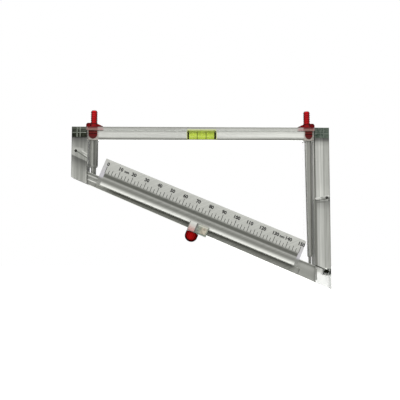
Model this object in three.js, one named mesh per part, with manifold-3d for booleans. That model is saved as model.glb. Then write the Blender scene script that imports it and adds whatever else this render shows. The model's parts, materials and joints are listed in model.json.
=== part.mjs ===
// Inclined liquid manometer in a clear acrylic trapezoid frame, in millimetres.
// +X runs to the right, +Z up, and the scale faces -Y. Pieces are drawn from the middle of the top
// face, and the last group moves them so that the origin is the middle of the top strip's flat back.
// Lengths along the inclined bar are called s, and heights square to it t, both from the point
// where the top edge of that bar crosses the middle of the frame.

import * as THREE from 'three';
import { mergeVertices } from 'three/addons/utils/BufferGeometryUtils.js';
import Module from 'manifold-3d';

const wasm = await Module();
wasm.setup();

// ---------- driving dimensions ----------

const HALF_WIDTH = 93.1;
const BLOCK_DEPTH = 14;
const BAR_DEPTH = 10;
const BLOCK_INNER_X = 81.9;
const BOND_GAP = 0.1;
const CLEARANCE = 0.3;
const OVERRUN = 1; // how far a cutting solid runs past the face it cuts
const FAR = 200; // longer than any piece, for cuts that go right through

const STRIP_THICKNESS = 2.4;
const TOP_BAR_BOTTOM_Z = -9.2;

const SCALE_SLOPE = THREE.MathUtils.degToRad(22.45);
const BASE_SLOPE = THREE.MathUtils.degToRad(23.26);
const BAR_TOP_Z = -66.0; // top edge of the inclined bar at x = 0
const BASE_Z = -76.45; // lower edge of the frame at x = 0
const REBATE = { s: 79.6, top: -5.9, depth: 1.2 };
const TUBE_BORE = { t: -2.0, radius: 1.25, from: -84.0 };

const LEG_X = 78.2; // common axis of a hose connector, its valve seat and its well tube
const WELL = { radius: 3.1, bore: 2.1, neck: 1.9, neckBore: 0.9, shoulder: 2.2, floor: 0.6 };
const WELL_SHOULDER_Z = { left: -27.0, right: -91.4 };
const NECK_INTO_BAR = 2.2;
const NECK_HOLE_RADIUS = 2.1;
const SEAL = { outer: 2.0, inner: 1.0, thickness: 0.7 };

const VALVE_BORE = 3.05;
const LIFT_CLEARANCE = 0.15;
const RING = { major: 2.45, minor: 0.55, z: -4.0 };
const SEAT = { outer: 2.95, top: -6.6, bottom: -8.9, topInner: 2.65, bottomInner: 1.65 };

const MAGNET = { width: 10.7, height: 7.7, thickness: 3.5 };
const VENT = { radius: 0.7, portRadius: 1.1, portDepth: 5.0, y: -3.0, overreach: 1.1 };
const VENT_ENDS = {
  left: { outer: [-90.0, -17.5], inner: [-81.0, -23.4] },
  right: { outer: [90.8, -51.0], inner: [81.0, -53.0] },
};
const DRAIN = { radius: 2.0, length: 5.2, washer: 0.8, slotWidth: 0.6, slotDepth: 0.8 };

const LEVEL = { x: 0.65, z: -5.4, halfPocket: 10.55, radius: 2.85, wall: 0.55, halfGlass: 9.15, cap: 1.1 };
const LEVEL_POCKET = { front: -5.2, back: 3.6, top: -2.3, bottom: -8.5 };
const BACKING = { front: 3.05, thickness: 0.45 };

const PLATE = { from: -79.1, to: 76.2, top: 13.7, bottom: -5.7, thickness: 2.0, corner: 1.5 };
const PLATE_BEVEL = { depth: 0.8, height: 1.5 };
const SCALE_ZERO_S = -76.1;
const SCALE_LENGTH = 150;
const RAIL = { bottom: CLEARANCE, top: 3.5, back: 2.0 };

const CLAMP = { from: -6.2, to: 8.3, top: -4.3, floor: -10.05, bottom: -11.2, front: -8.4, back: 6.4 };
const CLAMP_LIP = { front: 1.0, backTop: -6.4 };
const SCREW_S = -1.7;
const BOSS = { radius: 3.2, bottom: -14.6 };
const INSERT = { radius: 2.4, top: -11.0, bottom: -14.4, hole: 1.6 };
const STUD = { radius: 1.5, top: -10.5, bottom: -16.6 };
const PAD = { radius: 2.2, top: -9.75, bottom: -10.4, pocket: 2.6 };
const KNOB = { radius: 4.7, top: -11.5, bottom: -18.5, cup: 3.55, cupTop: -15.9, domeRise: 3.4 };
const FLUTES = { count: 16, depth: 0.35, sides: 3 };
const KNOB_EDGE = { drop: 0.4, inset: 0.3, outset: 0.1 };

// ---------- solids ----------

function solidOf(geometry) {
  const bare = geometry.clone();
  bare.deleteAttribute('normal');
  bare.deleteAttribute('uv');
  const merged = mergeVertices(bare, 1e-4);
  const index = merged.index.array;
  const triVerts = [];
  for (let i = 0; i < index.length; i += 3) {
    const [a, b, c] = [index[i], index[i + 1], index[i + 2]];
    if (a !== b && b !== c && c !== a) triVerts.push(a, b, c);
  }
  if (signedVolume(merged.attributes.position, triVerts) < 0) triVerts.reverse();
  const vertProperties = new Float32Array(merged.attributes.position.array);
  return new wasm.Manifold(
    new wasm.Mesh({ numProp: 3, vertProperties, triVerts: new Uint32Array(triVerts) }));
}

function signedVolume(position, triVerts) {
  const [a, b, c] = [new THREE.Vector3(), new THREE.Vector3(), new THREE.Vector3()];
  let volume = 0;
  for (let i = 0; i < triVerts.length; i += 3) {
    a.fromBufferAttribute(position, triVerts[i]);
    b.fromBufferAttribute(position, triVerts[i + 1]);
    c.fromBufferAttribute(position, triVerts[i + 2]);
    volume += a.dot(b.cross(c)) / 6;
  }
  return volume;
}

function geometryOf(solid) {
  const mesh = solid.getMesh();
  const geometry = new THREE.BufferGeometry();
  geometry.setAttribute('position', new THREE.BufferAttribute(mesh.vertProperties, 3));
  geometry.setIndex(new THREE.BufferAttribute(mesh.triVerts, 1));
  return geometry;
}

function box(x0, x1, y0, y1, z0, z1) {
  const geometry = new THREE.BoxGeometry(x1 - x0, y1 - y0, z1 - z0);
  return solidOf(geometry.translate((x0 + x1) / 2, (y0 + y1) / 2, (z0 + z1) / 2));
}

// A round rod of the given radius between two points.
function rod(radius, from, to, segments = 32) {
  const [a, b] = [new THREE.Vector3(...from), new THREE.Vector3(...to)];
  const geometry = new THREE.CylinderGeometry(radius, radius, a.distanceTo(b), segments);
  const turn = new THREE.Quaternion().setFromUnitVectors(
    new THREE.Vector3(0, 1, 0), b.clone().sub(a).normalize());
  geometry.applyQuaternion(turn);
  const middle = a.add(b).multiplyScalar(0.5);
  return solidOf(geometry.translate(middle.x, middle.y, middle.z));
}

// A turned piece about Z, from its outline as [radius, z] points. A hollow one closes on itself.
function turned(outline, segments = 32, hollow = false) {
  const points = outline.map(([r, z]) => new THREE.Vector2(r, z));
  if (hollow) points.push(points[0].clone());
  return solidOf(new THREE.LatheGeometry(points, segments).rotateX(Math.PI / 2));
}

// A plate cut from an outline of [x, z] points or a Shape, between two y values.
function slab(outline, y0, y1) {
  const shape = outline instanceof THREE.Shape
    ? outline : new THREE.Shape(outline.map(([x, z]) => new THREE.Vector2(x, z)));
  const geometry = new THREE.ExtrudeGeometry(
    shape, { depth: y1 - y0, bevelEnabled: false, curveSegments: 8 });
  return solidOf(geometry.rotateX(Math.PI / 2).translate(0, y1, 0));
}

// ---------- the slope ----------

const topEdgeZ = (x) => BAR_TOP_Z - Math.tan(SCALE_SLOPE) * x;
const baseZ = (x) => BASE_Z - Math.tan(BASE_SLOPE) * x;

const slope = new THREE.Group();
slope.position.set(0, 0, BAR_TOP_Z);
slope.rotation.y = SCALE_SLOPE;
slope.updateMatrix();

function onSlope(solid) {
  return solidOf(geometryOf(solid).applyMatrix4(slope.matrix));
}

// ---------- materials ----------

function material(colour, roughness, metalness = 0, opacity = 1) {
  return new THREE.MeshStandardMaterial(
    { color: colour, roughness, metalness, opacity, transparent: opacity < 1 });
}

const acrylic = () => material(0xb9bdb2, 0.12, 0, 0.45);
const redPlastic = () => material(0xb91c20, 0.35);
const blackRubber = () => material(0x16140f, 0.8);

const frame = new THREE.Group();
frame.position.set(0, -BLOCK_DEPTH / 2, STRIP_THICKNESS / 2);
const scale = new THREE.Group();
scale.position.copy(slope.position);
scale.rotation.copy(slope.rotation);
frame.add(scale);

function add(parent, name, solid, look) {
  const mesh = new THREE.Mesh(geometryOf(solid), look);
  mesh.name = name;
  parent.add(mesh);
}

// ---------- clear frame ----------

function endBlock(side) {
  const sign = side === 'left' ? -1 : 1;
  const [inner, outer] = [sign * BLOCK_INNER_X, sign * HALF_WIDTH];
  const top = -STRIP_THICKNESS - BOND_GAP;
  let solid = slab(
    [[outer, top], [inner, top], [inner, baseZ(inner)], [outer, baseZ(outer)]],
    -BLOCK_DEPTH / 2, BLOCK_DEPTH / 2);
  solid = solid.subtract(magnetNotch(sign));
  const vent = VENT_ENDS[side];
  const [portX, portZ] = vent.outer;
  const portFloor = VENT.portDepth - BLOCK_DEPTH / 2;
  solid = solid.subtract(
    rod(VENT.portRadius, [portX, -BLOCK_DEPTH, portZ], [portX, portFloor, portZ], 20));
  const run = new THREE.Vector2(vent.inner[0] - portX, vent.inner[1] - portZ);
  run.multiplyScalar(VENT.overreach);
  return solid.subtract(
    rod(VENT.radius, [portX, VENT.y, portZ], [portX + run.x, VENT.y, portZ + run.y], 16));
}

function magnetNotch(sign) {
  const edges = [sign * (HALF_WIDTH + OVERRUN), sign * (HALF_WIDTH - MAGNET.width - BOND_GAP)];
  return box(
    Math.min(...edges), Math.max(...edges),
    BLOCK_DEPTH / 2 - MAGNET.thickness - BOND_GAP, BLOCK_DEPTH,
    -MAGNET.height - BOND_GAP, OVERRUN);
}

function valveBore(sign, from, to) {
  return rod(VALVE_BORE, [sign * LEG_X, 0, from], [sign * LEG_X, 0, to]);
}

function magnet(sign) {
  const edges = [sign * HALF_WIDTH, sign * (HALF_WIDTH - MAGNET.width)];
  return box(
    Math.min(...edges), Math.max(...edges),
    BLOCK_DEPTH / 2 - MAGNET.thickness, BLOCK_DEPTH / 2, -MAGNET.height, 0);
}

function topStrip() {
  let solid = box(-HALF_WIDTH, HALF_WIDTH, -BLOCK_DEPTH / 2, BLOCK_DEPTH / 2, -STRIP_THICKNESS, 0);
  for (const sign of [-1, 1]) {
    solid = solid.subtract(magnetNotch(sign));
    solid = solid.subtract(valveBore(sign, -STRIP_THICKNESS - OVERRUN, OVERRUN));
  }
  return solid;
}

function topBar() {
  const end = BLOCK_INNER_X - BOND_GAP;
  let solid = box(
    -end, end, -BAR_DEPTH / 2, BAR_DEPTH / 2, TOP_BAR_BOTTOM_Z, -STRIP_THICKNESS - BOND_GAP);
  solid = solid.subtract(box(
    LEVEL.x - LEVEL.halfPocket, LEVEL.x + LEVEL.halfPocket, LEVEL_POCKET.front, LEVEL_POCKET.back,
    LEVEL_POCKET.bottom, LEVEL_POCKET.top));
  for (const sign of [-1, 1]) {
    solid = solid.subtract(valveBore(sign, TOP_BAR_BOTTOM_Z - OVERRUN, 0));
  }
  return solid;
}

const neckEndZ = (x) => topEdgeZ(x) - NECK_INTO_BAR;
const tubeBore = (radius, from, to) => onSlope(
  rod(radius, [from, 0, TUBE_BORE.t], [to, 0, TUBE_BORE.t], 24));

function inclineBar() {
  const end = BLOCK_INNER_X - BOND_GAP;
  let solid = slab(
    [[-end, topEdgeZ(-end)], [end, topEdgeZ(end)], [end, baseZ(end)], [-end, baseZ(-end)]],
    -BAR_DEPTH / 2, BAR_DEPTH / 2);
  solid = solid.subtract(tubeBore(TUBE_BORE.radius, TUBE_BORE.from, 2 * HALF_WIDTH));
  solid = solid.subtract(onSlope(box(
    -REBATE.s, REBATE.s, -BAR_DEPTH, -BAR_DEPTH / 2 + REBATE.depth, -FAR, REBATE.top)));
  for (const x of [-LEG_X, LEG_X]) {
    const floor = neckEndZ(x) - SEAL.thickness - 2 * BOND_GAP;
    const mouth = topEdgeZ(x) + 5 * OVERRUN;
    solid = solid.subtract(rod(NECK_HOLE_RADIUS, [x, 0, floor], [x, 0, mouth], 24));
  }
  return solid;
}

// The level vial lies in the middle of the top bar, between two end caps and on a pale card.
const alongX = (from, to, radius, segments) =>
  rod(radius, [LEVEL.x + from, 0, LEVEL.z], [LEVEL.x + to, 0, LEVEL.z], segments);
const levelBore = LEVEL.radius - LEVEL.wall;
const vialSegments = 32;

function levelGlass() {
  const glass = alongX(-LEVEL.halfGlass, LEVEL.halfGlass, LEVEL.radius, vialSegments);
  return glass.subtract(alongX(-HALF_WIDTH, HALF_WIDTH, levelBore, vialSegments));
}

function levelCap(sign) {
  const inner = sign * (LEVEL.halfGlass + BOND_GAP);
  return alongX(inner, inner + sign * LEVEL.cap, LEVEL.radius, vialSegments);
}

// ---------- legs ----------

// A well tube: a wide upper part that narrows by a round shoulder to the neck in the inclined bar.
function wellTube(side) {
  const x = side === 'left' ? -LEG_X : LEG_X;
  const top = TOP_BAR_BOTTOM_Z - BOND_GAP;
  const shoulder = WELL_SHOULDER_Z[side];
  const end = neckEndZ(x);
  const drop = WELL.shoulder;
  const quarter = (centre, rise, startRadius, endRadius) => [0, 1, 2, 3, 4].map((i) => {
    const angle = (i / 4) * (Math.PI / 2);
    return [
      endRadius + (startRadius - endRadius) * Math.cos(angle), centre - rise * Math.sin(angle)];
  });
  const outer = quarter(shoulder, drop, WELL.radius, WELL.neck);
  const inner = quarter(shoulder - WELL.floor, drop, WELL.bore, WELL.neckBore).reverse();
  const outline = [
    [WELL.bore, top], [WELL.radius, top], ...outer,
    [WELL.neck, end], [WELL.neckBore, end], ...inner];
  return turned(outline, 28, true).translate([x, 0, 0]);
}

function tubeSeal(x) {
  const top = neckEndZ(x) - BOND_GAP;
  return turned([
    [SEAL.inner, top], [SEAL.outer, top],
    [SEAL.outer, top - SEAL.thickness], [SEAL.inner, top - SEAL.thickness]], 24, true)
    .translate([x, 0, 0]);
}

function valveSeat(x) {
  return turned([
    [SEAT.topInner, SEAT.top], [SEAT.outer, SEAT.top],
    [SEAT.outer, SEAT.bottom], [SEAT.bottomInner, SEAT.bottom]], 28, true)
    .translate([x, 0, 0]);
}

function valveRing(x) {
  return solidOf(new THREE.TorusGeometry(RING.major, RING.minor, 8, 24).translate(x, 0, RING.z));
}

// ---------- hose connectors ----------

const CONNECTOR = { top: 13.2, bore: 1.0, body: 2.7, tip: 1.5, tipZ: -8.4, coneZ: -6.0 };
const FLANGE = { radius: 4.2, bottom: LIFT_CLEARANCE, top: 1.2 };
const HUB = { foot: 3.3, radius: 2.45, top: 3.7 };
const BARBS = { count: 6, from: 4.0, pitch: 1.5, wide: 2.35, narrow: 1.95, land: 0.3, step: 0.15 };
const STEM_CHAMFER = 0.2;
const EAR = { reach: 5.6, top: 4.0, round: 1.6 };
const RAMP = { reach: 6.6, innerTop: 3.8, outerTop: 1.5 };
const WING_WIDTH = 2.8;
const GROOVE = { half: RING.minor + BOND_GAP, radius: RING.major - RING.minor - BOND_GAP / 2 };

// A connector turned about Z, with a thumb ear on one side and a tapered wing on the other.
function connector(sign) {
  const barbs = [];
  for (let i = 0; i < BARBS.count; i += 1) {
    const z = BARBS.from + i * BARBS.pitch;
    barbs.push([BARBS.wide, z], [BARBS.wide, z + BARBS.land]);
    barbs.push([BARBS.narrow, z + BARBS.pitch - BARBS.step]);
  }
  const stem = turned([
    [CONNECTOR.bore, CONNECTOR.tipZ], [CONNECTOR.tip, CONNECTOR.tipZ],
    [CONNECTOR.body, CONNECTOR.coneZ],
    [CONNECTOR.body, RING.z - GROOVE.half], [GROOVE.radius, RING.z - GROOVE.half],
    [GROOVE.radius, RING.z + GROOVE.half], [CONNECTOR.body, RING.z + GROOVE.half],
    [CONNECTOR.body, FLANGE.bottom], [FLANGE.radius, FLANGE.bottom], [FLANGE.radius, FLANGE.top],
    [HUB.foot, FLANGE.top], [HUB.radius, HUB.top],
    [BARBS.narrow, HUB.top + STEM_CHAMFER], ...barbs,
    [BARBS.narrow - STEM_CHAMFER, CONNECTOR.top], [CONNECTOR.bore, CONNECTOR.top]], 24, true);
  const inner = (CONNECTOR.bore + HUB.radius) / 2;
  const ear = new THREE.Shape();
  ear.moveTo(-inner, FLANGE.bottom);
  ear.lineTo(-inner, EAR.top);
  ear.lineTo(-EAR.reach + EAR.round, EAR.top);
  ear.absarc(-EAR.reach + EAR.round, EAR.top - EAR.round, EAR.round, Math.PI / 2, Math.PI, false);
  ear.lineTo(-EAR.reach, FLANGE.bottom);
  const ramp = [
    [inner, FLANGE.bottom], [RAMP.reach, FLANGE.bottom], [RAMP.reach, RAMP.outerTop],
    [inner, RAMP.innerTop]];
  const wing = slab(ear, -WING_WIDTH / 2, WING_WIDTH / 2)
    .add(slab(ramp, -WING_WIDTH / 2, WING_WIDTH / 2));
  const turn = sign < 0 ? 0 : 180;
  return stem.add(wing).rotate([0, 0, turn]).translate([sign * LEG_X, 0, 0]);
}

// ---------- drain ----------

const drainEndX = HALF_WIDTH - BOND_GAP;
const drainS = (drainEndX - TUBE_BORE.t * Math.sin(SCALE_SLOPE)) / Math.cos(SCALE_SLOPE);
const drainFloorS = drainS - DRAIN.length - DRAIN.washer - 2 * BOND_GAP;

function drainPlug() {
  const inside = box(-HALF_WIDTH, drainEndX, -BLOCK_DEPTH, BLOCK_DEPTH, -FAR, 0);
  const slot = box(
    drainEndX - DRAIN.slotDepth, drainEndX + OVERRUN,
    -DRAIN.slotWidth / 2, DRAIN.slotWidth / 2, -FAR, 0);
  const rough = tubeBore(DRAIN.radius, drainS - DRAIN.length, drainS + DRAIN.length);
  return rough.intersect(inside).subtract(slot);
}

function drainWasher() {
  const from = drainFloorS + BOND_GAP;
  return tubeBore(DRAIN.radius, from, from + DRAIN.washer)
    .subtract(tubeBore(SEAL.inner, from - OVERRUN, from + DRAIN.washer + OVERRUN));
}

function rightEndBlock() {
  return endBlock('right')
    .subtract(tubeBore(TUBE_BORE.radius, 0, 2 * HALF_WIDTH))
    .subtract(tubeBore(DRAIN.radius + BOND_GAP, drainFloorS, 2 * HALF_WIDTH));
}

// ---------- sliding scale, in lengths s along the slope and t square to it ----------

const plateBack = -BAR_DEPTH / 2 - CLEARANCE;
const plateFront = plateBack - PLATE.thickness;

function scalePlate() {
  const { from, to, top, bottom, corner } = PLATE;
  const face = new THREE.Shape();
  face.moveTo(from, bottom);
  face.lineTo(to, bottom);
  face.lineTo(to, top - corner);
  face.absarc(to - corner, top - corner, corner, 0, Math.PI / 2, false);
  face.lineTo(from, top);
  const lean = THREE.MathUtils.radToDeg(Math.atan2(PLATE_BEVEL.height, PLATE_BEVEL.depth));
  const reach = PLATE_BEVEL.height;
  const bevel = box(from - OVERRUN, to + OVERRUN, -reach, reach, -PLATE.thickness, 0)
    .rotate([lean, 0, 0])
    .translate([0, plateFront + PLATE_BEVEL.depth / 2, bottom + PLATE_BEVEL.height / 2]);
  return slab(face, plateFront, plateBack).subtract(bevel);
}

function guideRail() {
  return box(
    SCALE_ZERO_S, SCALE_ZERO_S + SCALE_LENGTH,
    plateBack + BOND_GAP, RAIL.back, RAIL.bottom, RAIL.top);
}

// The clamp block grips the lower edge of the plate and runs round the lower edge of the bar.
function clampBlock() {
  const { from, to, top, floor, bottom, front, back } = CLAMP;
  const [left, right, above] = [from - OVERRUN, to + OVERRUN, top + OVERRUN];
  const slotFront = front + CLAMP_LIP.front;
  const barSide = BAR_DEPTH / 2 + CLEARANCE;
  const plateSlot = box(left, right, slotFront, back + OVERRUN, PLATE.bottom - BOND_GAP, above);
  const barSlot = box(left, right, -barSide, barSide, floor, above);
  const lowBack = box(left, right, barSide - OVERRUN, back + OVERRUN, CLAMP_LIP.backTop, above);
  const boss = rod(BOSS.radius, [SCREW_S, 0, bottom + BOND_GAP], [SCREW_S, 0, BOSS.bottom], 28);
  const pocket = rod(PAD.pocket, [SCREW_S, 0, INSERT.top], [SCREW_S, 0, floor + OVERRUN], 24);
  const bore = rod(
    INSERT.radius + BOND_GAP, [SCREW_S, 0, BOSS.bottom - OVERRUN], [SCREW_S, 0, floor], 24);
  const body = box(from, to, front, back, bottom, top);
  return body.subtract(plateSlot).subtract(barSlot).subtract(lowBack)
    .add(boss).subtract(pocket).subtract(bore);
}

function clampInsert() {
  return rod(INSERT.radius, [SCREW_S, 0, INSERT.bottom], [SCREW_S, 0, INSERT.top - BOND_GAP], 24)
    .subtract(rod(INSERT.hole, [SCREW_S, 0, BOSS.bottom - OVERRUN], [SCREW_S, 0, 0], 24));
}

function clampStud() {
  return rod(STUD.radius, [SCREW_S, 0, STUD.bottom], [SCREW_S, 0, STUD.top], 24);
}

function clampPad() {
  return rod(PAD.radius, [SCREW_S, 0, PAD.bottom], [SCREW_S, 0, PAD.top], 24);
}

// The thumb knob: a fluted cup over the threaded boss, with a domed end.
function clampKnob() {
  const { radius, top, bottom, cup, cupTop, domeRise } = KNOB;
  const outline = [];
  const steps = FLUTES.count * FLUTES.sides;
  for (let i = 0; i < steps; i += 1) {
    const angle = (i / steps) * 2 * Math.PI;
    const r = i % FLUTES.sides === 0 ? radius - FLUTES.depth : radius;
    outline.push(new THREE.Vector2(r * Math.cos(angle), r * Math.sin(angle)));
  }
  const prism = new THREE.ExtrudeGeometry(
    new THREE.Shape(outline), { depth: top - bottom, bevelEnabled: false });
  const fluted = solidOf(prism.translate(0, 0, bottom));
  const domeRadius = radius + KNOB_EDGE.outset;
  const domeSteps = 6;
  const dome = [];
  for (let i = 0; i <= domeSteps; i += 1) {
    const angle = (i / domeSteps) * (Math.PI / 2);
    dome.push([domeRadius * Math.sin(angle), bottom + domeRise * (1 - Math.cos(angle))]);
  }
  const envelope = turned([
    ...dome, [domeRadius, top - KNOB_EDGE.drop], [radius - KNOB_EDGE.inset, top], [0, top]], 32);
  const recess = rod(cup, [0, 0, cupTop], [0, 0, top + OVERRUN], 28);
  const socket = rod(STUD.radius + BOND_GAP, [0, 0, STUD.bottom - BOND_GAP], [0, 0, top], 24);
  return fluted.intersect(envelope).subtract(recess).subtract(socket).translate([SCREW_S, 0, 0]);
}

// ---------- assembly ----------

add(frame, 'top_strip', topStrip(), acrylic());
add(frame, 'top_bar', topBar(), acrylic());
add(frame, 'left_end_block', endBlock('left'), acrylic());
add(frame, 'right_end_block', rightEndBlock(), acrylic());
add(frame, 'incline_bar', inclineBar(), acrylic());

for (const [side, sign] of [['left', -1], ['right', 1]]) {
  const x = sign * LEG_X;
  add(frame, `${side}_well_tube`, wellTube(side), acrylic());
  add(frame, `${side}_tube_seal`, tubeSeal(x), blackRubber());
  add(frame, `${side}_valve_seat`, valveSeat(x), material(0xe6e2d6, 0.5));
  add(frame, `${side}_magnet`, magnet(sign), material(0x1d2019, 0.7));
  add(frame, `${side}_valve_ring`, valveRing(x), blackRubber());
  add(frame, `${side}_hose_connector`, connector(sign), redPlastic());
  add(frame, `level_${side}_cap`, levelCap(sign), blackRubber());
}

add(frame, 'level_vial', levelGlass(), material(0xd8dccb, 0.1, 0, 0.4));
add(frame, 'level_fluid', alongX(
  -LEVEL.halfGlass, LEVEL.halfGlass, levelBore - BOND_GAP, vialSegments), material(0xbed246, 0.2, 0, 0.8));
add(frame, 'level_backing', box(
  LEVEL.x - LEVEL.halfPocket + BOND_GAP, LEVEL.x + LEVEL.halfPocket - BOND_GAP,
  BACKING.front, BACKING.front + BACKING.thickness,
  LEVEL_POCKET.bottom + BOND_GAP, -STRIP_THICKNESS - 2 * BOND_GAP), material(0xe9ebd2, 0.6));
add(frame, 'drain_plug', drainPlug(), material(0x191a17, 0.5));
add(frame, 'drain_washer', drainWasher(), blackRubber());

add(scale, 'scale_plate', scalePlate(), material(0xcdccc6, 0.25, 0, 0.85));
add(scale, 'guide_rail', guideRail(), material(0x6e6e69, 0.4));
add(scale, 'clamp_block', clampBlock(), material(0xcfc8b6, 0.3, 0, 0.7));
add(scale, 'clamp_insert', clampInsert(), material(0xc9a24a, 0.35, 0.9));
add(scale, 'clamp_pad', clampPad(), material(0xe6e2d6, 0.5));
add(scale, 'clamp_stud', clampStud(), material(0xb8b8b8, 0.3, 1));
add(scale, 'clamp_knob', clampKnob(), redPlastic());

export default frame;
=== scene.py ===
"""Looks for the inclined manometer: materials, printed scale, fine turned parts, studio light and camera."""

import json
import math

import bmesh
import bpy
from mathutils import Matrix, Vector


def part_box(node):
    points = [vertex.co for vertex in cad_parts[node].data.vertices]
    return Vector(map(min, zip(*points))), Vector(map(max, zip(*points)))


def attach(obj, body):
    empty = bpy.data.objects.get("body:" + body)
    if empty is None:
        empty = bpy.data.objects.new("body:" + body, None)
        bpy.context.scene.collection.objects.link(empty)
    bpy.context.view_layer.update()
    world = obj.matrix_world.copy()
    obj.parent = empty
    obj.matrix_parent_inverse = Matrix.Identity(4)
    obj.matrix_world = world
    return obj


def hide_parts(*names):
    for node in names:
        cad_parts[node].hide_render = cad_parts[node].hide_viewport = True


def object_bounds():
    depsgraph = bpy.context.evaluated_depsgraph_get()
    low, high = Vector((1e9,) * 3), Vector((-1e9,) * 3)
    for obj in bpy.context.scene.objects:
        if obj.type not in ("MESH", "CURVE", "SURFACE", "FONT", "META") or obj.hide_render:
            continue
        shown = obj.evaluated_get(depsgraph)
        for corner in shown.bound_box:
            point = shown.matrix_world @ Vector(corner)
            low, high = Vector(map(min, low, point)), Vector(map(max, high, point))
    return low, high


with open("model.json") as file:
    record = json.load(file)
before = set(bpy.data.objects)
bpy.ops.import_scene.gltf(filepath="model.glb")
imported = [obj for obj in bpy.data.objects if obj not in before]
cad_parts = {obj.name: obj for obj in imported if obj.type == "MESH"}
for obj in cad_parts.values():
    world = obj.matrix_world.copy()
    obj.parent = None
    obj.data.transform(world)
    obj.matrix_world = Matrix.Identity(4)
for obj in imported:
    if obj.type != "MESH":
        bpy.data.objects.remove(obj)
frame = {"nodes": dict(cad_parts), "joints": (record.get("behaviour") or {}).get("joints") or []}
cad_low, cad_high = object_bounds()
nodes = frame["nodes"]
MM = 0.001


# ---------- places worked out from the frame ----------

joints = {joint["name"]: joint for joint in frame["joints"]}
X, Y, Z = Vector((1, 0, 0)), Vector((0, 1, 0)), Vector((0, 0, 1))
ALONG = Vector(joints["scale_slide"]["axis"]).normalized()
UP_SLOPE = Vector((-ALONG.z, 0, ALONG.x))
SLOPE_ANGLE = math.atan2(-ALONG.z, ALONG.x)


def corners(node):
    low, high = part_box(node)
    return Vector(low), Vector(high)


def middle(node):
    low, high = corners(node)
    return (low + high) / 2


def extent(node, direction, start):
    """The least and greatest distance of a node from start along direction, in millimetres."""
    reach = [(vertex.co - start).dot(direction) / MM for vertex in nodes[node].data.vertices]
    return min(reach), max(reach)


strip_low, strip_high = corners("top_strip")
TOP = Vector((0, (strip_low.y + strip_high.y) / 2, strip_high.z))
bar_low, bar_high = corners("incline_bar")
SLOPE_START = Vector((0, TOP.y, bar_high.z + bar_low.x * math.tan(SLOPE_ANGLE)))
SLOPE_FRAME = Matrix.Translation(SLOPE_START) @ Matrix((ALONG, Y, UP_SLOPE)).transposed().to_4x4()
LEG_X = abs(joints["left_connector_turn"]["pos_m"][0]) / MM
SIDES = (("left", -1), ("right", 1))


def upright(x, turn=0.0):
    """The frame of a piece turned about Z at x, with its zero in the top face."""
    return Matrix.Translation(TOP + X * x * MM) @ Matrix.Rotation(turn, 4, "Z")


# ---------- material building ----------

def new_material(name):
    material = bpy.data.materials.new(name)
    material.use_nodes = True
    tree = material.node_tree
    tree.nodes.clear()
    return material, tree


def add_node(tree, kind, inputs=None, **settings):
    made = tree.nodes.new(kind)
    for key, value in settings.items():
        setattr(made, key, value)
    for key, value in (inputs or {}).items():
        socket = made.inputs[key]
        if isinstance(value, bpy.types.NodeSocket):
            tree.links.new(value, socket)
        else:
            socket.default_value = value
    return made


def rgb(red, green=None, blue=None):
    """A linear colour from one given as 0 to 255 on screen. One number is a grey with a faint green cast."""
    if green is None:
        red, green, blue = red, red + 1, red - 5

    def linear(v):
        v = max(v, 0) / 255
        return v / 12.92 if v <= 0.04045 else ((v + 0.055) / 1.055) ** 2.4
    return (linear(red), linear(green), linear(blue), 1)


def grey(value):
    return (value, value, value, 1)


def object_point(tree):
    return add_node(tree, "ShaderNodeTexCoord").outputs["Object"]


def stretched(tree, stretch, turn_y=0.0):
    """Object coordinates scaled by stretch, per metre, after a turn about Y."""
    turned = add_node(
        tree, "ShaderNodeMapping", {"Vector": object_point(tree), "Rotation": (0, turn_y, 0)})
    return add_node(
        tree, "ShaderNodeMapping", {"Vector": turned.outputs[0], "Scale": stretch}).outputs[0]


def noise(tree, vector, scale=1.0, detail=3, roughness=0.5):
    return add_node(
        tree, "ShaderNodeTexNoise",
        {"Vector": vector, "Scale": scale, "Detail": detail, "Roughness": roughness}).outputs["Fac"]


def maths(tree, operation, first, second, third=0.0):
    return add_node(
        tree, "ShaderNodeMath", {0: first, 1: second, 2: third}, operation=operation).outputs[0]


def between(tree, value, low, high, to_low=0.0, to_high=1.0, smooth=False):
    return add_node(
        tree, "ShaderNodeMapRange",
        {"Value": value, "From Min": low, "From Max": high, "To Min": to_low, "To Max": to_high},
        interpolation_type="SMOOTHSTEP" if smooth else "LINEAR").outputs["Result"]


def ramp(tree, value, stops):
    """A colour ramp with (position, colour) stops. Its outputs are Color and Alpha."""
    made = add_node(tree, "ShaderNodeValToRGB", {"Fac": value})
    elements = made.color_ramp.elements
    while len(elements) < len(stops):
        elements.new(0.5)
    for element, (where, colour) in zip(elements, sorted(stops)):
        element.position = where
        element.color = colour
    return made.outputs


def bump(tree, height, strength, distance=0.0001):
    return add_node(
        tree, "ShaderNodeBump",
        {"Height": height, "Strength": strength, "Distance": distance}).outputs["Normal"]


def blend_colours(tree, factor, first, second, mode="MIX"):
    made = add_node(tree, "ShaderNodeMix", data_type="RGBA", blend_type=mode)
    for key, value in ((0, factor), (6, first), (7, second)):
        if isinstance(value, bpy.types.NodeSocket):
            tree.links.new(value, made.inputs[key])
        else:
            made.inputs[key].default_value = value
    return made.outputs[2]


def output(tree, shader):
    add_node(tree, "ShaderNodeOutputMaterial", {"Surface": shader})


def distance(tree, direction, start, waver=None):
    """How far the shaded point lies from start along direction, in millimetres, with a little waver."""
    offset = add_node(
        tree, "ShaderNodeVectorMath", {0: object_point(tree), 1: start}, operation="SUBTRACT")
    along = add_node(
        tree, "ShaderNodeVectorMath", {0: offset.outputs["Vector"], 1: direction},
        operation="DOT_PRODUCT").outputs["Value"]
    along = maths(tree, "MULTIPLY", along, 1 / MM)
    if waver is None:
        return along
    return maths(tree, "ADD", along, between(tree, waver, 0.3, 0.7, -0.12, 0.12))


ACRYLIC_IOR, EDGE_GLOW = 1.49, 0.75

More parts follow.
